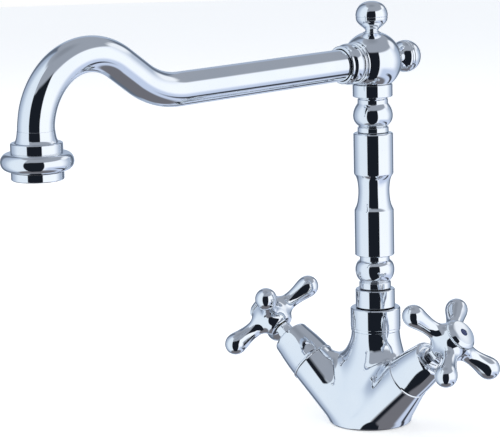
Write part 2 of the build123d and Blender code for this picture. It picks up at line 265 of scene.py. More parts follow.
def surface_net(f, lo, hi, h):
    """Quads of f = 0, one vertex to each cell that it crosses."""
    lo, hi = np.asarray(lo, float), np.asarray(hi, float)
    n = np.ceil((hi - lo) / h).astype(int) + 1
    ax = [lo[k] + h * np.arange(n[k]) for k in range(3)]
    g = np.stack(np.meshgrid(*ax, indexing="ij"), -1)
    v = f(g.reshape(-1, 3)).reshape(n)
    s = v < 0
    corner = [(i, j, k) for i in (0, 1) for j in (0, 1) for k in (0, 1)]
    cut = lambda a, c: a[c[0]:n[0] - 1 + c[0], c[1]:n[1] - 1 + c[1], c[2]:n[2] - 1 + c[2]]
    total = sum(cut(s, c).astype(np.int8) for c in corner)
    active = (total > 0) & (total < 8)
    index = np.full(active.shape, -1)
    index[active] = np.arange(int(active.sum()))
    cells = np.argwhere(active)
    pos, cnt = np.zeros((len(cells), 3)), np.zeros(len(cells))
    cv = {c: cut(v, c)[active] for c in corner}
    for a in corner:
        for k in range(3):
            if a[k]:
                continue
            b = tuple(1 if i == k else a[i] for i in range(3))
            va, vb = cv[a], cv[b]
            m = (va < 0) != (vb < 0)
            t = np.where(m, va / np.where(m, va - vb, 1), 0)
            p = np.tile(np.array(a, float), (len(cells), 1))
            p[:, k] += t
            pos[m] += p[m]
            cnt[m] += 1
    pos = lo + h * (cells + pos / cnt[:, None])
    quads = []
    for k in range(3):
        i, j = (k + 1) % 3, (k + 2) % 3
        sl0, sl1 = [slice(None)] * 3, [slice(None)] * 3
        sl0[k], sl1[k] = slice(0, -1), slice(1, None)
        sa, sb = s[tuple(sl0)], s[tuple(sl1)]
        for e in np.argwhere(sa != sb):
            if min(e[i], e[j]) == 0 or e[i] >= n[i] - 1 or e[j] >= n[j] - 1:
                continue
            q = []
            for di, dj in ((-1, -1), (0, -1), (0, 0), (-1, 0)):
                c = e.copy()
                c[i] += di
                c[j] += dj
                q.append(index[tuple(c)])
            if min(q) >= 0:
                quads.append(q if sa[tuple(e)] else q[::-1])
    return pos, np.array(quads)


def gradient(f, p, e=0.02):
    out = np.empty_like(p)
    for k in range(3):
        d = np.zeros(3)
        d[k] = e
        out[:, k] = (f(p + d) - f(p - d)) / (2 * e)
    return out


def onto(f, p, rounds=6, step=0.8):
    for _ in range(rounds):
        g = gradient(f, p)
        v = f(p)[:, None]
        p = p - np.clip(v / np.maximum((g * g).sum(1, keepdims=True), 1e-6) * g, -step, step)
    return p


def relaxed(f, p, quads, rounds=4):
    """Evens out the quads and puts their corners back on f = 0."""
    for _ in range(rounds):
        acc, cnt = np.zeros_like(p), np.zeros(len(p))
        for a in range(4):
            for b in (1, 3):
                np.add.at(acc, quads[:, a], p[quads[:, (a + b) % 4]])
                np.add.at(cnt, quads[:, a], 1)
        p = onto(f, 0.4 * p + 0.6 * acc / cnt[:, None], 3)
    return p


def smin(a, b, k):
    h = np.maximum(k - np.abs(a - b), 0) / k
    return np.minimum(a, b) - h * h * k * 0.25


def cut_and_extend(bm, origin, axis, steps, pole=None, where=None):
    """Cuts bm with a plane, drops what is past it, and continues the rim through rings
    (radius, height) about the axis. pole is the height of the last point, or a face closes it.
    where limits the cut to the geometry for which it is true."""
    axis = Vector(axis).normalized()
    origin = Vector(origin)
    geom = list(bm.verts) + list(bm.edges) + list(bm.faces)
    if where is not None:
        vs = [v for v in bm.verts if where(v.co)]
        keep = set(vs)
        es = [e for e in bm.edges if e.verts[0] in keep and e.verts[1] in keep]
        fs = [f for f in bm.faces if all(v in keep for v in f.verts)]
        geom = vs + es + fs
    bmesh.ops.bisect_plane(bm, geom=geom, dist=1e-5, plane_co=origin, plane_no=axis, clear_outer=True)
    rim = [e for e in bm.edges if e.is_boundary
           and all(abs((v.co - origin).dot(axis)) < 2e-3 for v in e.verts)
           and (where is None or all(where(v.co) for v in e.verts))]
    link = {}
    for e in rim:
        a, b = e.verts
        link.setdefault(a, []).append(b)
        link.setdefault(b, []).append(a)
    start = rim[0].verts[0]
    loop, prev = [start], None
    while True:
        nxt = [v for v in link[loop[-1]] if v is not prev]
        v = nxt[0]
        if v is start:
            break
        prev = loop[-1]
        loop.append(v)
    # direction of the loop, so the new faces face outwards
    e = [x for x in rim if set(x.verts) == {loop[0], loop[1]}][0]
    f = e.link_faces[0]
    order = [l.vert for l in f.loops]
    i = order.index(loop[0])
    forward = order[(i + 1) % len(order)] is loop[1]
    if forward:
        loop = [loop[0]] + loop[1:][::-1]
    dirs = []
    for v in loop:
        d = v.co - origin
        dirs.append((d - axis * d.dot(axis)).normalized())
    last = loop
    for r, h in steps:
        new = [bm.verts.new(origin + axis * h + d * r) for d in dirs]
        m = len(new)
        for k in range(m):
            bm.faces.new((last[k], last[(k + 1) % m], new[(k + 1) % m], new[k]))
        last = new
    if pole is None:
        bm.faces.new(last)
    else:
        top = bm.verts.new(origin + axis * pole)
        for k in range(len(last)):
            bm.faces.new((last[k], last[(k + 1) % len(last)], top))


def finish_mesh(name, bm, smooth_normal=None, near=0.03, sharp=32):
    """Object from bm, in millimetres. Where smooth_normal gives a normal, it is used."""
    me = bpy.data.meshes.new(name)
    bmesh.ops.scale(bm, vec=(MM, MM, MM), verts=bm.verts)
    bm.to_mesh(me)
    bm.free()
    me.shade_smooth()
    me.set_sharp_from_angle(angle=math.radians(sharp))
    me.update()
    if smooth_normal is not None:
        n = len(me.loops)
        nor = np.empty(n * 3)
        me.corner_normals.foreach_get("vector", nor)
        nor = nor.reshape(-1, 3)
        vi = np.empty(n, int)
        me.loops.foreach_get("vertex_index", vi)
        co = np.empty(len(me.vertices) * 3)
        me.vertices.foreach_get("co", co)
        co = co.reshape(-1, 3) / MM
        fn = np.empty(len(me.polygons) * 3)
        me.polygons.foreach_get("normal", fn)
        fn = fn.reshape(-1, 3)
        tot = np.empty(len(me.polygons), int)
        me.polygons.foreach_get("loop_total", tot)
        face = np.repeat(np.arange(len(me.polygons)), tot)
        want, ok = smooth_normal(co)
        agree = (want[vi] * fn[face]).sum(1) > 0.86
        # a face all of whose corners lie on the smooth surface takes its normals
        good = np.ones(len(me.polygons), bool)
        np.logical_and.at(good, face, ok[vi])
        use = good[face] & agree
        nor[use] = want[vi][use]
        me.normals_split_custom_set(nor.tolist())
        me.update()
    ob = bpy.data.objects.new(name, me)
    bpy.context.scene.collection.objects.link(ob)
    return ob


def bm_from(pos, quads):
    bm = bmesh.new()
    vs = [bm.verts.new(p) for p in pos]
    for q in quads:
        bm.faces.new([vs[i] for i in q])
    bm.normal_update()
    return bm


# ---------------------------------------------------------------- materials
class Net:
    """Short way to build a node tree."""

    def __init__(self, tree):
        self.t = tree

    def new(self, kind, inputs=None, **props):
        n = self.t.nodes.new(kind)
        for k, v in props.items():
            setattr(n, k, v)
        for k, v in (inputs or {}).items():
            sock = n.inputs[k]
            if isinstance(v, bpy.types.NodeSocket):
                self.t.links.new(v, sock)
            else:
                sock.default_value = v
        return n

    def math(self, op, a, b=None, c=None, clamp=False):
        n = self.t.nodes.new("ShaderNodeMath")
        n.operation, n.use_clamp = op, clamp
        for i, v in enumerate((a, b, c)):
            if v is None:
                continue
            if isinstance(v, bpy.types.NodeSocket):
                self.t.links.new(v, n.inputs[i])
            else:
                n.inputs[i].default_value = v
        return n.outputs[0]

    def smooth(self, x, a, b, lo=0.0, hi=1.0):
        n = self.new("ShaderNodeMapRange", {0: x, 1: a, 2: b, 3: lo, 4: hi})
        n.interpolation_type = "SMOOTHSTEP"
        return n.outputs[0]

    def mix(self, fac, a, b, blend="MIX"):
        n = self.t.nodes.new("ShaderNodeMix")
        n.data_type, n.blend_type = "RGBA", blend
        for i, v in ((0, fac), (6, a), (7, b)):
            if isinstance(v, bpy.types.NodeSocket):
                self.t.links.new(v, n.inputs[i])
            else:
                n.inputs[i].default_value = v if i == 0 else (*v, 1)
        return n.outputs[2]

    def noise(self, scale, detail=3.0, rough=0.5, vec=None):
        ins = {"Scale": scale, "Detail": detail, "Roughness": rough}
        if vec is not None:
            ins["Vector"] = vec
        return self.new("ShaderNodeTexNoise", ins).outputs["Fac"]


def material(name):
    m = bpy.data.materials.new(name)
    m.use_nodes = True
    m.node_tree.nodes.clear()
    net = Net(m.node_tree)
    out = net.new("ShaderNodeOutputMaterial")
    bsdf = net.new("ShaderNodeBsdfPrincipled")
    m.node_tree.links.new(bsdf.outputs[0], out.inputs[0])
    co = net.new("ShaderNodeTexCoord").outputs["Object"]
    return m, net, bsdf, co


def connect(net, bsdf, **what):
    for k, v in what.items():
        sock = bsdf.inputs[k.replace("_", " ").title().replace("Ior", "IOR")]
        if isinstance(v, bpy.types.NodeSocket):
            net.t.links.new(v, sock)
        else:
            sock.default_value = v


def bump(net, bsdf, height, distance, strength=1.0):
    b = net.new("ShaderNodeBump", {"Height": height, "Distance": distance, "Strength": strength})
    net.t.links.new(b.outputs[0], bsdf.inputs["Normal"])


def chrome():
    m, net, bsdf, co = material("polished_chrome")
    cloud = net.noise(34.0, 4.0, 0.55, co)
    fine = net.noise(420.0, 3.0, 0.6, co)
    # hairline polishing marks in two crossing directions
    m1 = net.new("ShaderNodeMapping", {"Vector": co, "Rotation": (0.3, 0.2, 0.5), "Scale": (1.0, 14.0, 1.0)}).outputs[0]
    m2 = net.new("ShaderNodeMapping", {"Vector": co, "Rotation": (1.1, -0.4, 2.0), "Scale": (1.0, 1.0, 17.0)}).outputs[0]
    hair = net.math("MULTIPLY", net.noise(260.0, 2.0, 0.7, m1), net.noise(230.0, 2.0, 0.7, m2))
    # water spots: a few faint round marks
    spot = net.new("ShaderNodeTexVoronoi", {"Vector": co, "Scale": 52.0, "Randomness": 1.0})
    ring = net.math("SUBTRACT", 1.0, net.smooth(net.math("ABSOLUTE", net.math("SUBTRACT", spot.outputs["Distance"], 0.16)), 0.0, 0.035))
    rare = net.smooth(net.noise(19.0, 2.0, 0.5, co), 0.60, 0.70)
    spots = net.math("MULTIPLY", ring, rare)
    edge = net.smooth(net.new("ShaderNodeNewGeometry").outputs["Pointiness"], 0.52, 0.60)
    worn = net.math("MULTIPLY", edge, net.smooth(cloud, 0.35, 0.75))
    rough = net.smooth(cloud, 0.25, 0.8, 0.022, 0.055)
    rough = net.math("MULTIPLY_ADD", fine, 0.018, rough)
    rough = net.math("MULTIPLY_ADD", spots, 0.05, rough)
    rough = net.math("MULTIPLY_ADD", worn, 0.07, rough)
    col = net.mix(net.smooth(cloud, 0.3, 0.75), (0.885, 0.915, 0.955), (0.93, 0.95, 0.975))
    col = net.mix(net.math("MULTIPLY", worn, 0.5), col, (0.86, 0.86, 0.85))
    # painted shade: ambient occlusion darkens the colour almost to black in crevices and at the joints between parts,
    # and roughens them a little
    ao = net.new("ShaderNodeAmbientOcclusion", {"Distance": 0.0022}, samples=6)
    crevice_shade = net.smooth(ao.outputs["AO"], 0.10, 0.62, 1.0, 0.0)
    col = net.mix(net.math("MULTIPLY", crevice_shade, 0.85), col, (0.05, 0.055, 0.065))
    rough = net.math("MULTIPLY_ADD", crevice_shade, 0.12, rough)
    connect(net, bsdf, base_color=col, metallic=1.0, roughness=rough)
    bump(net, bsdf, net.math("MULTIPLY_ADD", hair, 0.5, net.math("MULTIPLY", fine, 0.35)), 0.000004)
    return m


def brass():
    m, net, bsdf, co = material("machined_brass")
    cloud = net.noise(60.0, 4.0, 0.6, co)
    fine = net.noise(900.0, 2.0, 0.5, co)
    wave = net.new("ShaderNodeTexWave", {"Vector": co, "Scale": 700.0, "Distortion": 1.2, "Detail": 1.0})
    col = net.mix(net.smooth(cloud, 0.3, 0.7), (0.62, 0.41, 0.14), (0.74, 0.53, 0.22))
    connect(net, bsdf, base_color=col, metallic=1.0, roughness=net.smooth(cloud, 0.25, 0.8, 0.2, 0.38))
    bump(net, bsdf, net.math("MULTIPLY_ADD", wave.outputs["Fac"], 0.5, fine), 0.00002, 0.5)
    return m


def steel():
    m, net, bsdf, co = material("stainless_steel")
    cloud = net.noise(80.0, 4.0, 0.6, co)
    brushed = net.noise(500.0, 2.0, 0.6, net.new("ShaderNodeMapping", {"Vector": co, "Scale": (1.0, 9.0, 1.0)}).outputs[0])
    col = net.mix(net.smooth(cloud, 0.3, 0.7), (0.52, 0.52, 0.53), (0.66, 0.66, 0.67))
    connect(net, bsdf, base_color=col, metallic=1.0, roughness=net.smooth(brushed, 0.3, 0.7, 0.2, 0.36))
    bump(net, bsdf, brushed, 0.00002, 0.5)
    return m


def soft(name, a, b, rough, grain=900.0, depth=0.00003, spec=0.4):
    m, net, bsdf, co = material(name)
    cloud = net.noise(90.0, 4.0, 0.6, co)
    fine = net.noise(grain, 4.0, 0.65, co)
    dust = net.smooth(net.noise(35.0, 5.0, 0.7, co), 0.55, 0.75)
    col = net.mix(net.smooth(cloud, 0.3, 0.7), a, b)
    col = net.mix(net.math("MULTIPLY", dust, 0.25), col, tuple(min(1.0, v * 1.6 + 0.02) for v in b))
    r = net.smooth(fine, 0.25, 0.8, rough - 0.08, rough + 0.08)
    connect(net, bsdf, base_color=col, roughness=net.math("MULTIPLY_ADD", dust, 0.06, r))
    bsdf.inputs["Specular IOR Level"].default_value = spec
    bump(net, bsdf, net.math("MULTIPLY_ADD", cloud, 0.4, fine), depth, 0.6)
    return m


CHROME, BRASS, STEEL = chrome(), brass(), steel()
RUBBER = soft("black_rubber", (0.012, 0.012, 0.013), (0.024, 0.024, 0.025), 0.62, 1100.0, 0.00005)
CERAMIC = soft("alumina_ceramic", (0.74, 0.72, 0.67), (0.86, 0.84, 0.79), 0.2, 1500.0, 0.000008, 0.5)
PLASTIC = soft("moulded_plastic", (0.70, 0.71, 0.72), (0.80, 0.81, 0.82), 0.42, 1200.0, 0.00002)
HOT = soft("hot_enamel", (0.20, 0.012, 0.012), (0.28, 0.02, 0.018), 0.25, 1300.0, 0.000012, 0.5)
COLD = soft("cold_enamel", (0.012, 0.022, 0.10), (0.018, 0.035, 0.16), 0.25, 1300.0, 0.000012, 0.5)


def dress(ob, mat, body, slot, *nodes):
    ob.data.materials.clear()
    ob.data.materials.append(mat)
    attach(ob, body)
    if nodes:
        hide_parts(*nodes)
    return ob


# ---------------------------------------------------------------- body casting
def lobe(p, c0, A0, B0, c1, A1, B1):
    """Signed size of a ruled loft between two circles, for points p."""
    c0, A0, B0, c1, A1, B1 = (np.asarray(v, float) for v in (c0, A0, B0, c1, A1, B1))
    d = p @ (c1 - c0) - c0 @ (c1 - c0)
    u = d / ((c1 - c0) @ (c1 - c0))
    for _ in range(7):
        u = np.clip(u, -0.6, 1.6)
        U = u[:, None]
        c, A, B = c0 + U * (c1 - c0), A0 + U * (A1 - A0), B0 + U * (B1 - B0)
        N = np.cross(A, B)
        g = ((p - c) * N).sum(1)
        dN = np.cross(A1 - A0, B) + np.cross(A, B1 - B0)
        dg = -(N @ (c1 - c0)) + ((p - c) * dN).sum(1)
        dg = np.where(np.abs(dg) < 1e-6, -1e-6, dg)
        u = u - np.clip(g / dg, -0.4, 0.4)
    U = np.clip(u, -0.6, 1.6)[:, None]
    c, A, B = c0 + U * (c1 - c0), A0 + U * (A1 - A0), B0 + U * (B1 - B0)
    a, b = (A * A).sum(1), (B * B).sum(1)
    x, y = ((p - c) * A).sum(1) / a, ((p - c) * B).sum(1) / b
    q = np.sqrt(x * x + y * y + 1e-9)
    return (q - 1) * np.sqrt(np.sqrt(a * b))


# the sweep from the belly up into the neck, by height: front, back and half width
RISE_Z = [-4, 4, 12, 18, 24, 30, 36, 40, 44, 48, 52, 56, 62]
FRONT = Cubic(list(zip(RISE_Z, [-21.6, -22.0, -21.8, -20.9, -19.5, -17.7, -15.5, -13.4, -11.2, -9.4, -8.45, -8.13, -8.13])), RISE_Z)
BACK = Cubic(list(zip(RISE_Z, [21.0, 21.0, 21.2, 21.4, 21.5, 21.6, 21.61, 21.61, 21.61, 21.61, 21.61, 21.61, 21.61])), RISE_Z)
HALF = Cubic(list(zip(RISE_Z, [21.0, 21.5, 21.8, 22.0, 22.2, 22.4, 21.9, 20.6, 18.8, 16.9, 15.5, 14.92, 14.87])), RISE_Z)


def body_field(p):
    parts = []
    for s in (1, -1):
        end = np.array([s * COS * (ARM_END + 2), ARM_Y, ARM_Z + SIN * (ARM_END + 2)])
        parts.append(lobe(p, (s * 0.4, 0, 0), (s * (BASE_R - 0.4), 0, 0), (0, BASE_R, 0),
                          end, (s * SIN * ARM_R, 0, -COS * ARM_R), (0, ARM_R, 0)))
    x, z = np.abs(p[:, 0]), p[:, 2]
    rise = np.clip((z - 3) / 21, 0, 1)
    rise = rise * rise * (3 - 2 * rise)
    t = x * COS + (z - ARM_Z) * SIN
    fade = np.clip((46.6 - t) / 5.0, 0, 1)
    fade = fade * fade * (3 - 2 * fade)
    arms = smin(parts[0], parts[1], 0.6 + 17.0 * rise)
    zc = np.clip(z, -3.9, 61.9)
    front, back, half = FRONT.at(zc)[..., 1], BACK.at(zc)[..., 1], HALF.at(zc)[..., 1]
    slope = FRONT.at(zc, 1)[..., 1]
    deep = (back - front) / 2
    q = np.hypot(p[:, 0] / half, (p[:, 1] - (back + front) / 2) / deep)
    neck = (q - 1) * np.sqrt(half * deep) / np.sqrt(1 + slope * slope)
    out = smin(arms, neck, 0.6 + 9.0 * rise * fade)
    # the upright rim of the foot
    foot = np.hypot(p[:, 0], p[:, 1]) - (BASE_R + 0.2)
    foot = -smin(-foot, -(z - 6.0), 5.0)
    return smin(out, foot, 4.0)


def make_body():
    lo, hi = (-50, -30, -2.0), (50, 30, 60.5)
    h = 1.05
    # the arm planes must not cut the neck, which rises between them
    def field(p):
        f = body_field(p)
        arm_cut = np.maximum(p[:, 0] * COS, -p[:, 0] * COS) + (p[:, 2] - ARM_Z) * SIN - (ARM_END + 2.4)
        column = np.hypot(p[:, 0], p[:, 1] - COL_Y) < 19.0
        f = np.where(column, f, np.maximum(f, arm_cut))
        return np.maximum(f, np.maximum(p[:, 2] - 59.0, -0.6 - p[:, 2]))
    pos, quads = surface_net(field, lo, hi, h)
    pos = relaxed(field, onto(field, pos), quads, 3)
    bm = bm_from(pos, quads)
    for s in (1, -1):
        ax = (s * COS, 0, SIN)
        e = (s * COS * ARM_END, ARM_Y, ARM_Z + SIN * ARM_END)
        cut_and_extend(bm, e, ax, [(ARM_R - 0.35, 0), (10.48, 0), (10.48, -17.6), (3.3, -17.6)], None,
                       where=lambda c, s=s: c.x * s > 19.0)
    cut_and_extend(bm, (0, COL_Y, NECK_TOP), (0, 0, 1),
                   [(BOSS_R, 0), (BOSS_R, BOSS_TOP - NECK_TOP - 0.5), (BOSS_R - 0.5, BOSS_TOP - NECK_TOP),
                    (BORE_R, BOSS_TOP - NECK_TOP), (BORE_R, BORE_Z - NECK_TOP), (6.5, BORE_Z - NECK_TOP),
                    (6.5, 27 - NECK_TOP)], None)
    cut_and_extend(bm, (0, 0, 1.0), (0, 0, -1),
                   [(BASE_R + 0.9, 0.4), (BASE_R + 0.75, 0.7), (BASE_R + 0.45, 0.92), (BASE_R, 1.0),
                    (22.4, 1.0), (22.4, -0.4), (19.4, -0.4), (19.4, 1.0)], None)
    bmesh.ops.recalc_face_normals(bm, faces=bm.faces)
    bm.normal_update()

    def normal(p):
        ok = (np.abs(body_field(p)) < 0.03) & (p[:, 2] > 0.98)
        return unit(gradient(body_field, p)), ok
    ob = finish_mesh("mixer_body_casting", bm, normal)
    # threaded holes in the underside
    drill = bmesh.new()
    for x, y, r, l in ((9.5, -6, 5, 12), (-9.5, -6, 5, 12), (0, 9, 4, 14)):
        bmesh.ops.create_cone(drill, cap_ends=True, segments=64, radius1=r, radius2=r, depth=l + 2,
                              matrix=Matrix.Translation((x, y, (l + 2) / 2 - 2)))
    dm = bpy.data.meshes.new("drill")
    bmesh.ops.scale(drill, vec=(MM, MM, MM), verts=drill.verts)
    drill.to_mesh(dm)
    drill.free()
    cutter = bpy.data.objects.new("drill", dm)
    bpy.context.scene.collection.objects.link(cutter)
    mod = ob.modifiers.new("holes", "BOOLEAN")
    mod.operation, mod.solver, mod.object = "DIFFERENCE", "EXACT", cutter
    bpy.context.view_layer.update()
    done = bpy.data.meshes.new_from_object(ob.evaluated_get(bpy.context.evaluated_depsgraph_get()))
    ob.modifiers.clear()
    bm = bmesh.new()
    bm.from_mesh(done)
    bmesh.ops.scale(bm, vec=(1 / MM,) * 3, verts=bm.verts)
    bpy.data.objects.remove(cutter)
    bpy.data.objects.remove(ob)
    return finish_mesh("mixer_body_casting", bm, normal)


dress(make_body(), CHROME, "body", "chrome", "mixer_body")

dress(lathe("swivel_nut_ring", [
    (BOSS_R, NECK_TOP), (NUT_R - 0.6, NECK_TOP), (NUT_R - 0.15, NECK_TOP + 0.5), (NUT_R - 0.15, 58.7),
    (NUT_R, 58.95), (NUT_R, NUT_TOP - 0.6), (NUT_R - 0.6, NUT_TOP), (10.4, NUT_TOP), (10.4, 69.1), (BOSS_R, 69.1)],
    T(0, COL_Y, 0)), CHROME, "body", "chrome", "swivel_nut")

# ---------------------------------------------------------------- column
dress(lathe("column_stem_turned", [
    (WATER_R, 38.3), (9.4, 38.3), (STEM_R, 38.9), (STEM_R, 45.7), (8.0, 45.7), (8.0, 48.3), (STEM_R, 48.3),
    (STEM_R, 58.7), (8.0, 58.7), (8.0, 61.3), (STEM_R, 61.3), (STEM_R, 66.35), (8.7, 66.35), (8.7, 68.85),
    (STEM_R, 68.85), (STEM_R, 71.65), (COLLAR_R - 0.4, 71.65), (COLLAR_R, 72.05), (COLLAR_R, 82.44),
    (COLLAR_R - 0.4, 82.84), (SPIGOT_R, 82.84), (SPIGOT_R, 90.0), (WATER_R, 90.0)], SWIVEL),
    CHROME, "spout_assembly", "chrome", "column_stem")

dress(lathe("column_lower_bead_turned", [
    (SPIGOT_R, 82.84), (8.9, 82.84), (9.2, 83.3), (9.78, 83.6), (9.78, 87.0), (9.3, 87.35),
    (8.85, 87.6), [(10.5, 89.4), (11.75, 92.4), (12.02, 94.8), (11.75, 97.2), (10.6, 99.6), (9.17, 100.9)],
    (9.17, 103.6), (8.7, 104.0), (SPIGOT_R, 104.0), (SPIGOT_R, 111.0),
    (WATER_R, 111.0), (WATER_R, 90.2), (SPIGOT_R, 90.2)], SWIVEL),
    CHROME, "spout_assembly", "chrome", "column_lower_bead")

dress(lathe("column_middle_turned", [
    (SPIGOT_R, 104.0), (11.6, 104.0), (12.07, 104.5), (12.07, 132.0), (11.9, 132.5),
    [(10.75, 135.0), (9.85, 139.2), (9.55, 143.9), (9.85, 148.4), (10.75, 152.2), (11.95, 154.4)],
    (12.13, 154.9), (12.13, 179.1), (11.7, 179.6), (9.0, 180.0), (SPIGOT_R, 180.0),
    (SPIGOT_R, 187.0), (WATER_R, 187.0), (WATER_R, 111.2), (SPIGOT_R, 111.2)], SWIVEL),
    CHROME, "spout_assembly", "chrome", "column_middle")

dress(lathe("column_upper_bead_turned", [
    (SPIGOT_R, 180.0), (9.1, 180.0), (9.5, 180.5), (9.5, 183.0), (9.0, 183.35),
    (8.4, 183.6), [(10.2, 185.2), (11.75, 187.8), (12.13, 190.2), (11.8, 192.8), (10.7, 195.6), (9.27, 197.8)],
    (9.27, 200.2), (8.8, 200.7), (8.6, 201.9), (SPIGOT_R, 201.9), (SPIGOT_R, 194.0),
    (WATER_R, 194.0), (WATER_R, 187.2), (SPIGOT_R, 187.2)], SWIVEL),
    CHROME, "spout_assembly", "chrome", "column_upper_bead")

dress(lathe("top_collar_turned", [
    (SPIGOT_R, 201.9), (COLLAR_R - 0.4, 201.9), (COLLAR_R, 202.3), (COLLAR_R, 209.2), (COLLAR_R - 0.4, 209.6),
    (SPIGOT_R, 209.6)], SWIVEL), CHROME, "spout_assembly", "chrome", "top_collar")


# ---------------------------------------------------------------- ball head
def make_ball():
    n = 72
    bm = bmesh.new()
    bmesh.ops.create_cube(bm, size=2.0)
    bmesh.ops.subdivide_edges(bm, edges=bm.edges[:], cuts=n - 1, use_grid_fill=True)
    c = Vector(put(SWIVEL, [0, 0, BALL_Z]))
    for v in bm.verts:
        q = Vector([math.tan(x * math.pi / 4) for x in v.co])
        v.co = c + q.normalized() * BALL_R
    ax = Vector(turn(SPOUT, [0, 0, 1.0]))
    cut_and_extend(bm, c - Vector((0, 0, 14.0)), (0, 0, -1),
                   [(SPIGOT_R, 0), (SPIGOT_R, 15.2), (SPIGOT_R - 0.3, 15.4), (WATER_R, 15.4), (WATER_R, -4)], None)
    cut_and_extend(bm, c + Vector((0, 0, 17.0)), (0, 0, 1), [(3.05, 0), (3.05, -8.4)], None)
    cut_and_extend(bm, c - ax * 17.0, -ax, [(3.05, 0), (3.05, -8.4)], None)
    cut_and_extend(bm, c + ax * 12.5, ax, [(9.6, 0), (9.6, 6.5), (6.0, 6.5), (6.0, -4)], None)
    bmesh.ops.recalc_face_normals(bm, faces=bm.faces)
    cc = np.array(c)
    return finish_mesh("ball_head_cast", bm, lambda p: (unit(p - cc), np.abs(np.linalg.norm(p - cc, axis=1) - BALL_R) < 0.01))


dress(make_ball(), CHROME, "spout_assembly", "chrome", "ball_head")

FINIAL = [(0, -8.0), (2.95, -8.0), (2.95, 0.0), (5.6, 0.0),
          [(5.15, 0.45), (4.1, 1.1), (3.85, 1.6), (4.2, 2.15), (6.6, 4.2), (9.0, 6.8), (9.62, 8.0)],
          (9.35, 8.25), (9.62, 8.5), (9.72, 9.7), (9.45, 9.95), (9.79, 10.2),
          [(9.72, 11.6), (9.0, 14.2), (7.3, 16.7), (4.2, 18.6), (0.0, 19.3)]]
dress(lathe("top_finial_acorn", FINIAL, SWIVEL @ T(0, 0, BALL_Z + 17.0), closed=False, fillet=0.18, seg=96),
      CHROME, "spout_assembly", "chrome", "top_finial")
dress(lathe("side_finial_acorn", FINIAL, SPOUT @ R("x", 180) @ T(0, 0, 17.0), closed=False, fillet=0.18, seg=96),
      CHROME, "spout_assembly", "chrome", "side_finial")

# ---------------------------------------------------------------- spout
dress(lathe("spout_nut_turned", [
    (9.65, 12.5), (12.3, 12.5), (12.8, 12.9), (12.8, 13.8), (12.3, 14.2), (11.7, 14.5),
    (11.7, 14.9), (12.3, 15.2), (12.3, 15.9), (11.5, 16.3),
    [(12.15, 17.4), (12.4, 19.5), (12.0, 21.6), (11.0, 22.9)],
    (10.7, 23.2), (10.7, 23.5), (11.5, 23.9), (11.5, 25.2), (11.1, 25.6),
    (9.9, 25.6), (9.9, 21.85), (10.6, 21.8), (10.6, 19.4), (9.65, 19.4)], SPOUT, fillet=0.22),
    CHROME, "spout_assembly", "chrome", "spout_nut")


def spout_line():
    """Centreline of the spout in the (s, z) plane: points and headings."""
    d = math.radians(-DROOP)
    x0, x1 = 19.9 * math.cos(d), 148.6
    pts, head = [], []

    def line(p, q, k):
        for u in np.linspace(0, 1, k + 1)[:-1]:
            pts.append((p[0] + u * (q[0] - p[0]), p[1] + u * (q[1] - p[1])))
            head.append(math.atan2(q[1] - p[1], q[0] - p[0]))

    def bend(p, a0, a1, r, k):
        s = 1 if a1 > a0 else -1
        t0, t1 = math.radians(a0), math.radians(a1)
        c = (p[0] - s * r * math.sin(t0), p[1] + s * r * math.cos(t0))
        for u in np.linspace(0, 1, k + 1)[:-1]:
            t = t0 + u * (t1 - t0)
            pts.append((c[0] + s * r * math.sin(t), c[1] - s * r * math.cos(t)))
            head.append(t)
        return c[0] + s * r * math.sin(t1), c[1] - s * r * math.cos(t1)

    p0 = (x0, BALL_Z + 19.9 * math.sin(d))
    p1 = (x1, BALL_Z + x1 * math.tan(d))
    line(p0, p1, 26)
    p2 = bend(p1, -DROOP, 36.2, 45.5, 26)
    a = math.radians(36.2)
    p3 = (p2[0] + 16.35 * math.cos(a), p2[1] + 16.35 * math.sin(a))
    line(p2, p3, 8)
    p4 = bend(p3, 36.2, -42.5, 34.4, 52)
    p5 = bend(p4, -42.5, -90.0, (OUT_S - p4[0]) / (1 - math.sin(math.radians(42.5))), 32)
    line(p5, (p5[0], 198.0), 10)
    pts.append((p5[0], 198.0))
    head.append(-math.pi / 2)
    return np.array(pts), np.array(head)


def tube_radius(s, total):
    """Outer radius along the tube, slightly fuller after the bends."""
    t = np.array([0.0, 30, 75, 128, 165, 215, 255, total - 17, total - 13, total - 9.5, total])
    r = np.array([9.48, 9.6, 9.72, 9.86, 10.05, 10.12, 10.12, 10.14, 10.2, 10.3, 10.34])
    return Cubic(np.stack([t, r], 1), t).at(s)[:, 1]


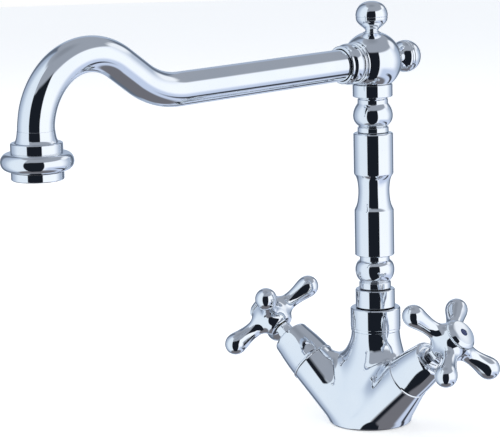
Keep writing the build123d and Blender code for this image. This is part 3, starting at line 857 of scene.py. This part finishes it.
def make_tube(seg=112):
    p, h = spout_line()
    s = np.r_[0, np.cumsum(np.linalg.norm(np.diff(p, axis=0), axis=1))]
    r = tube_radius(s, s[-1])
    r = np.where(s > s[-1] - 8.0, np.minimum(r, 10.02), r)      # inside the outlet's socket
    dr = np.gradient(r, s)
    ang = 2 * math.pi * (np.arange(seg) + 0.5) / seg
    c, sn = np.cos(ang), np.sin(ang)
    V, N, F = [], [], []

    def ring(q, a, rad, slope, sign, head_tilt=0.0):
        ex = np.array([-math.sin(a), 0, math.cos(a)])       # up, in the plane
        ey = np.array([0, 1.0, 0])
        ez = np.array([math.cos(a), 0, math.sin(a)])
        d = c[:, None] * ex + sn[:, None] * ey
        V.append(np.array([q[0], 0, q[1]]) + rad * d)
        N.append(sign * unit(d - slope * ez))

    flange = 21.7 - 19.9
    ks = np.searchsorted(s, flange)
    # outside, from the flange to the end
    ez = np.array([math.cos(h[0]), 0, math.sin(h[0])])
    for rad, back, nz in ((10.35, 0.0, -1), (10.5, 0.15, 0), (10.5, flange - 0.15, 0), (10.35, flange, 1)):
        q = p[0] + back * ez[[0, 2]]
        ex = np.array([-math.sin(h[0]), 0, math.cos(h[0])])
        d = c[:, None] * ex + sn[:, None] * np.array([0, 1.0, 0])
        V.append(np.array([q[0], 0, q[1]]) + rad * d)
        N.append(unit(d * (0.7 if nz else 1) + nz * 0.7 * ez))
    start = p[0] + flange * ez[[0, 2]]
    ring(start, h[0], r[0], 0, 1)
    for i in range(ks, len(p)):
        ring(p[i], h[i], r[i], dr[i], 1)
    # inside, back to the flange
    for i in range(len(p) - 1, -1, -1):
        ring(p[i], h[i], 8.1, 0, -1)
    m = len(V)
    for i in range(m):
        a, b = i * seg, ((i + 1) % m) * seg
        for j in range(seg):
            k = (j + 1) % seg
            F.append((a + j, b + j, b + k, a + k))
    v = np.vstack(V)
    me = add_mesh("spout_tube_bent", put(SWIVEL, v), F, turn(SWIVEL, np.vstack(N)))
    return me


tube = make_tube()
dress(tube, CHROME, "spout_assembly", "chrome", "spout_tube")

dress(lathe("outlet_bell_turned", [
    (10.06, 198.0), (10.06, 206.2), (10.45, 207.4), [(10.5, 206.2), (10.72, 204.6), (11.2, 202.4), (12.0, 200.75)],
    (12.3, 200.5), (13.9, 200.5), (14.38, 200.1), (14.38, 194.6),
    [(16.6, 194.98), (18.9, 193.6), (20.15, 190.2), (18.9, 186.8), (16.6, 185.42), (14.0, 185.2)],
    (12.0, 185.2), (12.0, 194.0), (8.6, 194.0), (8.6, 198.0)], OUTLET, seg=128),
    CHROME, "spout_assembly", "chrome", "outlet_bell")

dress(lathe("aerator_housing_turned", [
    (9.2, 180.1), (14.0, 180.1), (14.5, 180.6), (14.5, 184.5), (14.1, 184.9), (12.0, 184.9),
    (12.0, 192.2), (10.3, 192.2), (10.3, 181.3), (9.2, 181.3)], OUTLET, seg=128),
    CHROME, "spout_assembly", "chrome", "aerator_housing")


# ---------------------------------------------------------------- valves and handles
def prism_nut(name, place, z0, z1, across, bore, stem_r, stem_z):
    """Chamfered hexagon nut with a stem below it and a bore through both."""
    seg = 120
    th = 2 * math.pi * np.arange(seg) / seg
    apothem = across / 2
    hexr = apothem / np.cos((th + math.pi / 6) % (math.pi / 3) - math.pi / 6)
    tip = apothem / math.cos(math.pi / 6)
    rows = []

    def ring(z, limit, shape=True):
        r = np.minimum(hexr, limit) if shape else np.full(seg, limit)
        rows.append(np.stack([r * np.cos(th), r * np.sin(th), np.full(seg, z)], 1))

    c = tip - apothem
    ring(stem_z, stem_r, False)
    ring(z0 - 0.0, stem_r, False)
    ring(z0, apothem - 0.1)
    for u in (0.0, 0.35, 0.7, 1.0):
        ring(z0 + u * c * 0.6, apothem + u * c)
    for u in (1.0, 0.7, 0.35, 0.0):
        ring(z1 - u * c * 0.6, apothem + u * c)
    ring(z1, bore + 0.5)
    ring(z1 - 0.4, bore, False)
    ring(stem_z, bore, False)
    m = len(rows)
    faces = []
    for i in range(m):
        a, b = i * seg, ((i + 1) % m) * seg
        for j in range(seg):
            k = (j + 1) % seg
            faces.append((a + j, a + k, b + k, b + j))
    return add_mesh(name, put(place, np.vstack(rows)), faces, sharp=22)


HUB = Cubic([(77.6, 7.6), (78.0, 8.2), (79.6, 9.3), (82.4, 10.4), (85.6, 11.2), (88.6, 11.5), (91.6, 11.25), (94.3, 10.2), (95.4, 9.7), (97.0, 8.9)],
            [77.6, 78.0, 79.6, 82.4, 85.6, 88.6, 91.6, 94.3, 95.4, 97.0])
ARM = Cubic([(-2.0, 6.4), (5.0, 6.1), (9.0, 5.6), (13.0, 5.25), (16.6, 5.05), (20.0, 5.35), (24.0, 6.05), (27.3, 6.68), (29.0, 6.8), (31.0, 6.7), (34, 6.0)],
            [-2.0, 5.0, 9.0, 13.0, 16.6, 20.0, 24.0, 27.3, 29.0, 31.0, 34.0])


def arm_field(x, q):
    """Signed size of one arm of the cross, x along it and q away from its axis."""
    xc = np.clip(x, -1.9, 29.0)
    r, s = ARM.at(xc)[..., 1], ARM.at(xc, 1)[..., 1]
    side = (q - r) / np.sqrt(1 + s * s)
    d = np.hypot(x - 29.0, q)
    c = np.clip((x - 29.0) / np.maximum(d, 1e-6), 0, 1)
    return np.where(x > 29.0, d - (6.8 + 0.3 * c * c), side)


def handle_field(p):
    """p about the valve axis, with an arm of the cross along X and z from the handle's plane."""
    x, y, z = p[:, 0], p[:, 1], p[:, 2]
    t = np.clip(z + HANDLE_T, 77.6, 96.9)
    r, s = HUB.at(t)[..., 1], HUB.at(t, 1)[..., 1]
    hub = (np.hypot(x, y) - r) / np.sqrt(1 + s * s)
    out = hub
    for a in (np.maximum(x, -x), np.maximum(y, -y)):
        other = y if a is not None and np.array_equal(a, np.abs(x)) else x
        out = smin(out, arm_field(a, np.hypot(other, z)), 3.6)
    return out


def make_handle(side):
    place = arm_frame(side) @ T(0, 0, HANDLE_T) @ R("z", HANDLE_TURN[side])

    def field(p):
        f = handle_field(p)
        return np.maximum(f, np.maximum(p[:, 2] - 8.6, -9.9 - p[:, 2]))
    pos, quads = surface_net(field, (-38, -38, -11.2), (38, 38, 9.9), 0.74)
    pos = relaxed(field, onto(field, pos), quads, 3)
    bm = bm_from(pos, quads)
    cut_and_extend(bm, (0, 0, -9.45), (0, 0, -1),
                   [(8.2, 0.25), (7.9, 0.55), (7.5, 0.65), (3.75, 0.65), (3.75, -1.0), (3.2, -1.0), (3.2, -8.7)], None)
    cut_and_extend(bm, (0, 0, 95.4 - HANDLE_T), (0, 0, 1), [(9.3, 0), (6.5, 0), (6.5, -5.8), (2.2, -5.8)], None)
    bmesh.ops.recalc_face_normals(bm, faces=bm.faces)
    inv = np.linalg.inv(place)
    bmesh.ops.transform(bm, matrix=Matrix(place.tolist()), verts=bm.verts)
    bm.normal_update()

    def normal(p):
        q = put(inv, p)
        ok = (np.abs(handle_field(q)) < 0.03) & (q[:, 2] > -9.46) & (q[:, 2] < 7.71)
        return turn(place, unit(gradient(handle_field, q))), ok
    return finish_mesh(f"{side}_handle_cross", bm, normal)


def make_cap(side):
    """Index cap with a serrated rim, a domed face and a dished seat for its mark."""
    seg = 480
    th = 2 * math.pi * np.arange(seg) / seg
    k = (th * 60 / (2 * math.pi)) % 1.0
    groove = np.clip(1 - np.abs(k - 0.5) / 0.32, 0, 1) ** 0.8
    rows = []

    def ring(r, z, depth=0.0):
        rr = r - depth * groove
        rows.append(np.stack([rr * np.cos(th), rr * np.sin(th), np.full(seg, z)], 1))

    ring(4.2, 93.0); ring(6.3, 93.0); ring(6.45, 93.15); ring(6.45, 95.4); ring(9.5, 95.4)
    ring(9.8, 95.42, 0.05); ring(10.02, 95.52, 0.2); ring(10.12, 95.7, 0.42); ring(10.12, 96.2, 0.45); ring(10.12, 96.7, 0.42)
    ring(10.05, 96.92, 0.3); ring(9.93, 97.08, 0.12); ring(9.84, 97.2, 0.02)
    wall = Cubic([(9.84, 97.2), (9.3, 97.78), (8.7, 98.42), (8.35, 98.78)])
    for t in np.linspace(0, wall.t[-1], 6)[1:]:
        ring(*wall.at(t))
    ring(8.22, 98.88); ring(8.05, 98.96); ring(7.85, 99.01)
    dome = Cubic([(7.85, 99.01), (6.6, 99.2), (5.0, 99.38), (3.2, 99.52), (2.62, 99.56)])
    for t in np.linspace(0, dome.t[-1], 18)[1:]:
        ring(*dome.at(t))
    ring(2.5, 99.54); ring(2.38, 99.46); ring(2.32, 99.3); ring(2.32, 99.1)
    top = len(rows) * seg
    verts = np.vstack(rows + [np.array([[0, 0, 99.1], [0, 0, 94.6]])])
    faces = []
    for i in range(len(rows) - 1):
        a, b = i * seg, (i + 1) * seg
        for j in range(seg):
            m = (j + 1) % seg
            faces.append((a + j, a + m, b + m, b + j))
    a = (len(rows) - 1) * seg
    faces += [(a + j, a + (j + 1) % seg, top) for j in range(seg)]
    inner = np.stack([4.2 * np.cos(th), 4.2 * np.sin(th), np.full(seg, 94.6)], 1)
    base = len(verts)
    verts = np.vstack([verts, inner])
    for j in range(seg):
        m = (j + 1) % seg
        faces.append((base + j, base + m, m, j))
        faces.append((top + 1, base + m, base + j))
    return add_mesh(f"{side}_index_cap_domed", put(arm_frame(side), verts), faces, sharp=38)


for side in ("hot", "cold"):
    place = arm_frame(side)
    control = f"{side}_control"
    dress(lathe(f"{side}_bonnet_turned", [
        (12.3, 45.7), (14.1, 45.7), (14.5, 46.1), (14.5, 46.9), (13.95, 47.4),
        (13.85, 48.2), [(13.6, 52.0), (12.75, 60.0), (11.75, 67.2), (11.4, 68.6), (10.6, 69.35), (9.9, 69.5)],
        (9.35, 69.3), (9.05, 67.6), (7.35, 67.5), (7.1, 69.2), (6.5, 69.3), (4.7, 69.3),
        (4.7, 66.3), (8.9, 66.3), (9.9, 65.6), (11.9, 49.6), (12.3, 49.2)], place, fillet=0.25),
        CHROME, "body", "chrome", f"{side}_bonnet")
    dress(prism_nut(f"{side}_gland_nut_hex", place, 69.32, 77.05, 9.18, 3.9, 4.45, 57.4),
          CHROME, "body", "chrome", f"{side}_gland_nut")
    dress(make_handle(side), CHROME, control, "chrome", f"{side}_handle")
    dress(make_cap(side), CHROME, control, "chrome", f"{side}_index_cap")
    dress(lathe(f"{side}_index_mark_enamel", [
        (0, 99.1), (2.25, 99.1), (2.25, 99.38), [(1.9, 99.49), (1.0, 99.57), (0, 99.6)]],
        place, closed=False, fillet=0.06, seg=72),
        HOT if side == "hot" else COLD, control, f"{side}_enamel", f"{side}_index_mark")

# ---------------------------------------------------------------- the CAD pieces that stay
FINISH = {
    "base_seal": RUBBER, "swivel_split_ring": PLASTIC, "swivel_o_rings": RUBBER, "spout_seal": RUBBER,
    "aerator_washer": RUBBER, "aerator_core": PLASTIC,
}
for side in ("hot", "cold"):
    FINISH.update({
        f"{side}_cartridge_housing": BRASS, f"{side}_cartridge_o_ring": RUBBER, f"{side}_seat_washer": RUBBER,
        f"{side}_fixed_disc": CERAMIC, f"{side}_moving_disc": CERAMIC, f"{side}_spindle": BRASS,
        f"{side}_spindle_seal": RUBBER, f"{side}_handle_screw": STEEL,
    })
for name, mat in FINISH.items():
    ob = NODES[name]
    if not ob.material_slots:
        ob.data.materials.append(mat)
    for s in ob.material_slots:
        s.material = mat

# ---------------------------------------------------------------- floor, studio and camera
AZ, EL, ROLL = math.radians(39.29), math.radians(10.13), math.radians(-1.30)
r0 = np.array([math.cos(AZ), math.sin(AZ), 0])
b0 = np.array([math.sin(AZ), -math.cos(AZ), 0])
b = np.array([math.sin(AZ) * math.cos(EL), -math.cos(AZ) * math.cos(EL), math.sin(EL)])
u0 = np.cross(b, r0)
r2 = math.cos(ROLL) * r0 + math.sin(ROLL) * u0
u2 = -math.sin(ROLL) * r0 + math.cos(ROLL) * u0
K = 0.865
eye = -83.17 * K * r0 + np.array([0, 0, 148.88 * K]) + 1628.44 * K * b
cam = bpy.data.objects.new("camera", bpy.data.cameras.new("camera"))
bpy.context.scene.collection.objects.link(cam)
m = np.eye(4)
m[:3, 0], m[:3, 1], m[:3, 2], m[:3, 3] = r2, u2, b, eye * MM
cam.matrix_world = Matrix(m.tolist())
cam.data.sensor_width, cam.data.lens = 36.0, 165.948
cam.data.clip_end = 30.0
bpy.context.scene.camera = cam


def floor():
    """A pale disc under the object."""
    bm = bmesh.new()
    bmesh.ops.create_circle(bm, cap_ends=True, segments=96, radius=3.2)
    me = bpy.data.meshes.new("floor")
    bm.to_mesh(me)
    bm.free()
    ob = bpy.data.objects.new("floor", me)
    bpy.context.scene.collection.objects.link(ob)
    ob.location = (0, 0, -0.0002)
    m, net, bsdf, co = material("pale_floor")
    connect(net, bsdf, base_color=net.mix(net.noise(6.0, 3.0, 0.5, co), (0.94, 0.92, 0.885), (0.96, 0.94, 0.905)),
            roughness=0.75)
    bsdf.inputs["Specular IOR Level"].default_value = 0.1
    bsdf.inputs["Emission Color"].default_value = (1.0, 1.0, 1.0, 1)
    bsdf.inputs["Emission Strength"].default_value = 0.5
    me.materials.append(m)
    ob.visible_glossy = False


floor()


def studio():
    """Surroundings that the metal reflects: white walls left and right, a dark gap between
    them behind the camera, a grey ceiling and a dark ground. The camera sees plain white."""
    w = bpy.data.worlds.new("studio")
    bpy.context.scene.world = w
    w.use_nodes = True
    w.node_tree.nodes.clear()
    net = Net(w.node_tree)
    out = net.new("ShaderNodeOutputWorld")
    d = net.new("ShaderNodeTexCoord").outputs["Generated"]
    dot = lambda v: net.new("ShaderNodeVectorMath", {0: d, 1: tuple(float(x) for x in v)}, operation="DOT_PRODUCT").outputs["Value"]
    z = dot((0, 0, 1))
    deg = 180 / math.pi
    az = net.math("MULTIPLY", net.math("ARCTAN2", dot(r0), dot(b0)), deg)
    el = net.math("MULTIPLY", net.math("ARCSINE", z), deg)
    aa = net.math("ABSOLUTE", az)
    both = lambda a, b: net.math("MULTIPLY", a, b)
    band = lambda x, a, b, c, e: both(net.smooth(x, a, b), net.smooth(x, c, e, 1.0, 0.0))
    col = net.mix(net.smooth(az, -12, 8), (0.78, 0.86, 0.94), (0.99, 1.03, 1.09))
    col = net.mix(net.smooth(az, -110, -60, 1.0, 0.0), col, (0.74, 0.83, 0.93))
    # darker towards the back, with a thin dark band before it turns light again
    col = net.mix(net.smooth(aa, 82, 128), col, (0.40, 0.475, 0.60))
    col = net.mix(band(aa, 128, 146, 156, 166), col, (0.13, 0.16, 0.21))
    # light high up at the right rear
    col = net.mix(both(net.smooth(el, 18, 28), band(az, 96, 110, 130, 142)), col, (0.92, 0.95, 0.99))
    # ceiling, which starts lowest in line with the dark gap
    start = net.math("MULTIPLY_ADD", band(az, -165, -135, -46, -38), 29.0, 30.0)
    start = net.math("MULTIPLY_ADD", band(az, 96, 112, 126, 142), 7.5, start)
    up = net.math("DIVIDE", net.math("SUBTRACT", el, start), 8.0)
    col = net.mix(net.smooth(up, 0.0, 1.0), col, (0.33, 0.36, 0.415))
    col = net.mix(net.smooth(el, 66, 86), col, (0.26, 0.285, 0.33))
    # lower right light blue, then a thin dark line, and a grey ground
    col = net.mix(both(net.smooth(el, -16, -32), net.smooth(az, 20, 50)), col, (0.58, 0.66, 0.83))
    col = net.mix(both(band(el, -47, -44, -40, -37), net.smooth(az, 60, 90)), col, (0.05, 0.055, 0.07))
    col = net.mix(net.smooth(el, -53, -62), col, (0.165, 0.165, 0.185))
    # the dark gap
    tip = net.math("MULTIPLY_ADD", net.smooth(az, -34, -16, 1.0, 0.0), 4.5, el)
    gap = both(band(az, -40.5, -37.5, 25.5, 28.5), both(net.smooth(el, -80, -70), net.smooth(tip, 34, 41, 1.0, 0.0)))
    col = net.mix(gap, col, (0.010, 0.013, 0.019))
    far = net.new("ShaderNodeBackground", {"Color": col, "Strength": 1.0})
    near = net.new("ShaderNodeBackground", {"Color": (1.0, 1.0, 1.0, 1), "Strength": 1.0})
    pick = net.new("ShaderNodeMixShader", {0: net.new("ShaderNodeLightPath").outputs["Is Camera Ray"], 1: far.outputs[0], 2: near.outputs[0]})
    w.node_tree.links.new(pick.outputs[0], out.inputs[0])


studio()

for name, loc, size, energy in (("key", (0.2, -0.9, 1.5), 1.6, 7.0), ("fill", (-0.9, 0.5, 1.3), 1.6, 5.0)):
    data = bpy.data.lights.new(name, "AREA")
    data.energy, data.size, data.shape = energy, size, "DISK"
    ob = bpy.data.objects.new(name, data)
    ob.location = loc
    ob.rotation_euler = (Vector((0, 0, 0.1)) - Vector(loc)).to_track_quat("-Z", "Y").to_euler()
    ob.visible_glossy = False
    bpy.context.scene.collection.objects.link(ob)

bpy.context.scene.view_settings.view_transform = "Standard"
bpy.context.scene.view_settings.look = "None"

bpy.context.view_layer.update()
